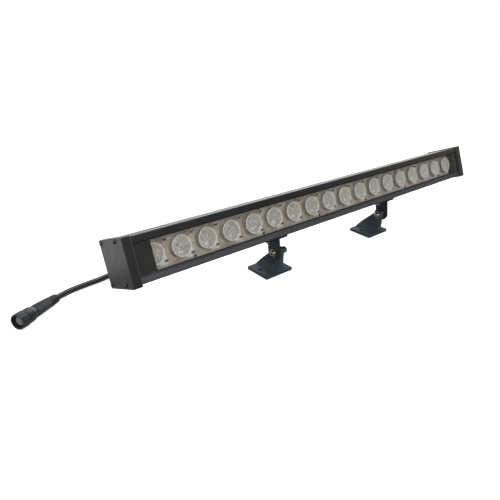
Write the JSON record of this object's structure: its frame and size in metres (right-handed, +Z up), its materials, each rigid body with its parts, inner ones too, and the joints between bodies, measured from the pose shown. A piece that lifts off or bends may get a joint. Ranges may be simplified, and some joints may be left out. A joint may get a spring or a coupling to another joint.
{
  "type": "outdoor wall washer light",
  "caption": "Slim bar-shaped outdoor wall washer with a glass-fronted row of lenses, two tilting sliding feet and a pigtail cable with a screw connector.",
  "frame": {"origin": "on the ground under the middle of the lamp's bounding box, without the cable and its connector", "axes": "+X along the lamp towards its far end, +Y from the lit face to the back, +Z up"},
  "size_m": [1.1443, 0.218, 0.1688],
  "materials": {
    "body_aluminium": "dark anodised satin",
    "cap_aluminium": "dark grey satin paint",
    "gasket_grey": "pale grey silicone",
    "stainless": "stainless, lightly brushed",
    "clear_glass": "clear toughened glass",
    "black_rubber": "black silicone",
    "blank_black": "black sheet",
    "board_taupe": "taupe solder mask",
    "dark_screw": "dark screw",
    "chip_black": "black resin",
    "emitter_yellow": "yellow phosphor dome",
    "holder_white": "white moulding",
    "clear_lens": "clear acrylic",
    "driver_green": "green solder mask",
    "driver_dark": "moulded parts",
    "terminal_white": "white nylon",
    "lead_red": "silicone lead",
    "black_nylon": "black nylon",
    "cable_black": "black rubber sheath",
    "insert_grey": "grey moulding",
    "contact_brass": "plated contact",
    "ring_red": "silicone ring",
    "arm_aluminium": "dark anodised satin",
    "foot_aluminium": "blue-grey satin paint"
  },
  "bodies": {
    "lamp": {"housing_extrusion": "body_aluminium", "end_cap_near": "cap_aluminium", "end_cap_far": "cap_aluminium", "end_gasket_near": "gasket_grey", "end_gasket_far": "gasket_grey", "cap_screws_near": "stainless", "cap_screws_far": "stainless", "front_glass": "clear_glass", "glass_seal": "black_rubber", "end_blank_near": "blank_black", "end_blank_far": "blank_black", "led_board": "board_taupe", "board_screws": "dark_screw", "board_parts": "chip_black", "led_emitters": "emitter_yellow", "lens_holders": "holder_white", "lenses": "clear_lens", "driver_board": "driver_green", "driver_parts": "driver_dark", "driver_posts": "contact_brass", "supply_terminal": "terminal_white", "inner_leads": "lead_red", "gland_body": "black_nylon", "gland_locknut": "black_nylon", "gland_seal": "black_rubber", "gland_nut": "black_nylon", "power_cable": "cable_black", "connector_body": "black_nylon", "connector_boot": "black_rubber", "connector_insert": "insert_grey", "connector_pins": "contact_brass", "connector_ring": "ring_red"},
    "arm_set_near": {"arm_near": "arm_aluminium", "slot_nut_near": "stainless", "slot_screw_near": "stainless", "slot_washer_near": "stainless", "pivot_bolt_near": "stainless", "pivot_washers_near": "stainless", "pivot_nut_near": "stainless"},
    "arm_set_far": {"arm_far": "arm_aluminium", "slot_nut_far": "stainless", "slot_screw_far": "stainless", "slot_washer_far": "stainless", "pivot_bolt_far": "stainless", "pivot_washers_far": "stainless", "pivot_nut_far": "stainless"},
    "foot_near": {"foot_near": "foot_aluminium"},
    "foot_far": {"foot_far": "foot_aluminium"},
    "coupling": {"coupling_nut": "black_nylon"}
  },
  "joints": [
    {"name": "slide_near", "type": "slide", "parent": "lamp", "child": "arm_set_near", "axis": [1, 0, 0], "range_m": [-0.2794, 0.12]},
    {"name": "slide_far", "type": "slide", "parent": "lamp", "child": "arm_set_far", "axis": [1, 0, 0], "range_m": [-0.12, 0.2879]},
    {"name": "tilt_near", "type": "hinge", "parent": "arm_set_near", "child": "foot_near", "pos_m": [-0.1657, -0.02454, 0.0486], "axis": [1, 0, 0], "range_deg": [-113, 51]},
    {"name": "tilt_far", "type": "hinge", "parent": "arm_set_far", "child": "foot_far", "pos_m": [0.1657, -0.02454, 0.0486], "axis": [1, 0, 0], "range_deg": [-113, 51]},
    {"name": "coupling_turn", "type": "hinge", "parent": "lamp", "child": "coupling", "pos_m": [-0.62823, 0.09413, 0.01463], "axis": [-0.8598, -0.5045, 0.0789], "continuous": true}
  ],
  "couplings": [
    {"joint": "tilt_far", "follows": "tilt_near", "ratio": 1}
  ]
}
